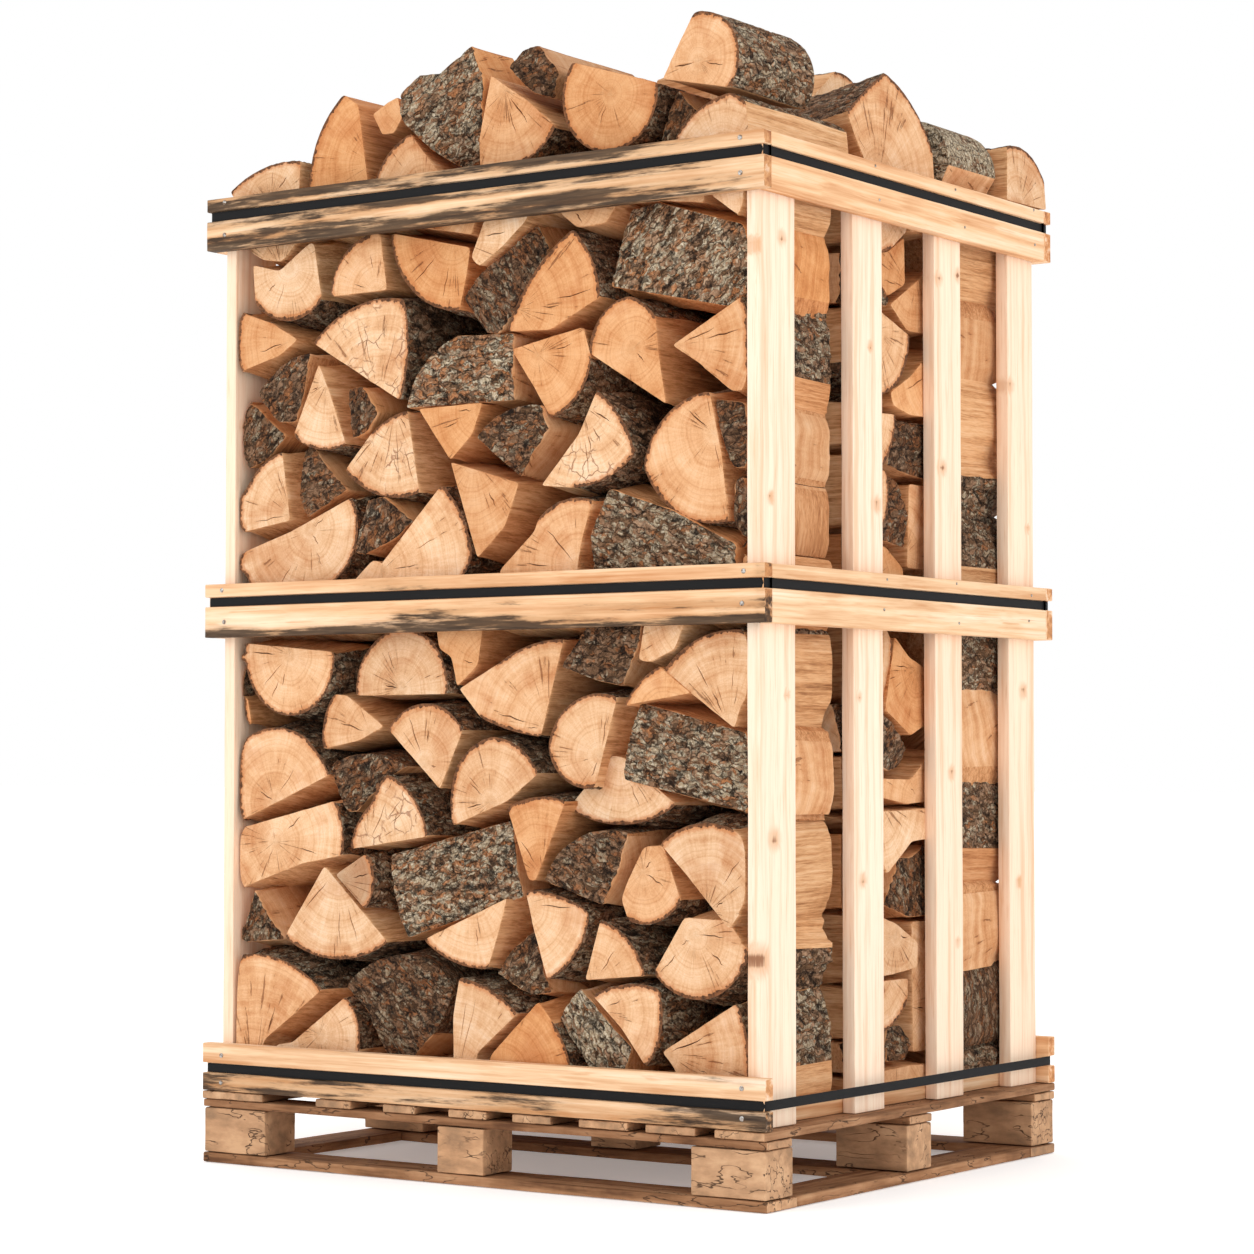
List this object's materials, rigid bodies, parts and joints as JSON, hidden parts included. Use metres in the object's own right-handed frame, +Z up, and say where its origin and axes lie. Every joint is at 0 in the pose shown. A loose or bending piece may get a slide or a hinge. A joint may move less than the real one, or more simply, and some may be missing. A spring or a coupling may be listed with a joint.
{
  "type": "firewood crate",
  "caption": "Slatted pallet crate filled with stacked split firewood, strapped rails around it and loose logs heaped on top.",
  "frame": {"origin": "on the floor under the middle of the pallet", "axes": "+Z up, +X to the right and -Y towards the viewer, seen from the open front with the stacked log ends"},
  "size_m": [1.2, 1, 1.985],
  "materials": {
    "pallet_wood": "rough sawn, weathered",
    "rail_pine": "sawn pine, partly stained grey-brown",
    "slat_pine": "fresh sawn pine",
    "strap": "smooth plastic band",
    "split_logs": "split hardwood with bark"
  },
  "bodies": {
    "root": {"pallet_bottom_board_front": "pallet_wood", "pallet_bottom_board_middle": "pallet_wood", "pallet_bottom_board_rear": "pallet_wood", "pallet_bottom_board_left": "pallet_wood", "pallet_bottom_board_right": "pallet_wood", "pallet_block_front_left": "pallet_wood", "pallet_block_front_centre": "pallet_wood", "pallet_block_front_right": "pallet_wood", "pallet_block_middle_left": "pallet_wood", "pallet_block_middle_centre": "pallet_wood", "pallet_block_middle_right": "pallet_wood", "pallet_block_rear_left": "pallet_wood", "pallet_block_rear_centre": "pallet_wood", "pallet_block_rear_right": "pallet_wood", "pallet_deck": "pallet_wood", "rail_bottom_front": "rail_pine", "rail_bottom_rear": "rail_pine", "rail_bottom_left": "rail_pine", "rail_bottom_right": "rail_pine", "rail_middle_front": "rail_pine", "rail_middle_rear": "rail_pine", "rail_middle_left": "rail_pine", "rail_middle_right": "rail_pine", "rail_top_front": "rail_pine", "rail_top_rear": "rail_pine", "rail_top_left": "rail_pine", "rail_top_right": "rail_pine", "slat_left_1": "slat_pine", "slat_left_2": "slat_pine", "slat_left_3": "slat_pine", "slat_left_4": "slat_pine", "slat_right_1": "slat_pine", "slat_right_2": "slat_pine", "slat_right_3": "slat_pine", "slat_right_4": "slat_pine", "strap_bottom": "strap", "strap_middle": "strap", "strap_top": "strap", "stack_front_row": "split_logs", "stack_middle_row": "split_logs", "stack_rear_row": "split_logs", "heap_log_left": "split_logs", "heap_log_tall_left": "split_logs", "heap_chip": "split_logs", "heap_log_low_left": "split_logs", "heap_slab_of_bark": "split_logs", "heap_log_behind_slab": "split_logs", "heap_wedge_middle": "split_logs", "heap_log_dark_end": "split_logs", "heap_half_log": "split_logs", "heap_log_centre": "split_logs", "heap_quarter_right": "split_logs", "heap_log_shaded": "split_logs", "heap_log_right": "split_logs", "heap_bark_log_rear": "split_logs", "heap_log_inner": "split_logs", "heap_small_quarter": "split_logs", "heap_wedge_right": "split_logs", "heap_block_rear_right": "split_logs"}
  },
  "joints": []
}
